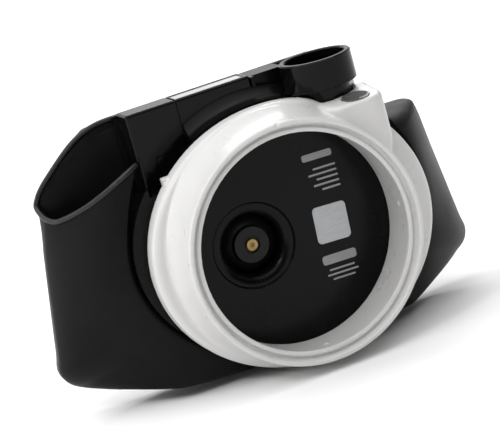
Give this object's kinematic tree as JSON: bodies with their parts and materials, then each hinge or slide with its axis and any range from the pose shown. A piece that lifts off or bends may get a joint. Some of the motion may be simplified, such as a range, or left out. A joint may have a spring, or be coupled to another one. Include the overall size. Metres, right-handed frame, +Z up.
{
  "type": "powered air respirator",
  "caption": "Waist-worn powered air respirator blower: open filter cup in a flared white casing, black housing with hose socket and lift-out battery, in a padded cover.",
  "frame": {"origin": "centre of the filter seat's mouth, in the front plane of the cup", "axes": "+X to the right of someone facing the filter, +Y back towards the wearer, +Z up along the hose socket"},
  "size_m": [0.301, 0.1119, 0.1905],
  "materials": {
    "white_shell": "satin white moulded plastic",
    "black_gloss": "polished black moulded plastic",
    "black_satin": "satin black moulded plastic",
    "inlet_black": "smooth black moulded plastic",
    "inner_plastic": "dark grey moulded plastic",
    "rubber_black": "black seal rubber",
    "brass": "turned brass",
    "steel": "bright steel",
    "motor_steel": "plated motor can",
    "copper_winding": "copper winding",
    "magnet": "ferrite magnet",
    "cell_wrap": "shrink-wrapped cells",
    "gauge_glass": "smoked clear gauge strip",
    "contact_metal": "gold-plated contacts",
    "button_gloss": "dished glossy button",
    "board_green": "circuit board",
    "label_grey": "blank silver-grey label",
    "leather": "black soft leatherette",
    "webbing": "black woven webbing"
  },
  "bodies": {
    "unit": {"front_casing": "white_shell", "inlet_plate": "inlet_black", "cup_gasket": "rubber_black", "volute_body": "inner_plastic", "motor_can": "motor_steel", "motor_stator": "copper_winding", "front_bearing": "steel", "rear_bearing": "steel", "motor_mount": "rubber_black", "hose_socket": "black_gloss", "socket_seal": "rubber_black", "socket_key": "steel", "rear_housing": "black_gloss", "bay_contacts": "contact_metal", "power_switch": "black_satin", "control_board": "board_green", "board_screws": "steel", "casing_screws": "steel", "rating_label": "label_grey", "cover_front": "leather", "back_pad": "leather", "belt_loop_left": "webbing", "belt_loop_right": "webbing"},
    "rotor": {"impeller": "black_satin", "impeller_bush": "brass", "motor_shaft": "steel", "rotor_magnet": "magnet"},
    "battery": {"battery_case": "black_gloss", "battery_cells": "cell_wrap", "gauge_window": "gauge_glass", "pack_contacts": "contact_metal", "latch_spring": "steel"},
    "latch": {"battery_latch": "black_gloss"},
    "button": {"power_button": "button_gloss"}
  },
  "joints": [
    {"name": "rotor_spin", "type": "hinge", "parent": "unit", "child": "rotor", "pos_m": [-0.023, 0.05, 0], "axis": [0, -1, 0], "continuous": true},
    {"name": "battery_lift", "type": "slide", "parent": "unit", "child": "battery", "axis": [0, 0, 1], "range_m": [0, 0.06]},
    {"name": "latch_press", "type": "slide", "parent": "battery", "child": "latch", "axis": [0, 1, 0], "range_m": [0, 0.0015], "stiffness_N_per_m": 1500, "deforming": ["latch_spring"]},
    {"name": "button_press", "type": "slide", "parent": "unit", "child": "button", "axis": [0, 0.1392, -0.9903], "range_m": [0, 0.0015], "stiffness_N_per_m": 1500}
  ]
}
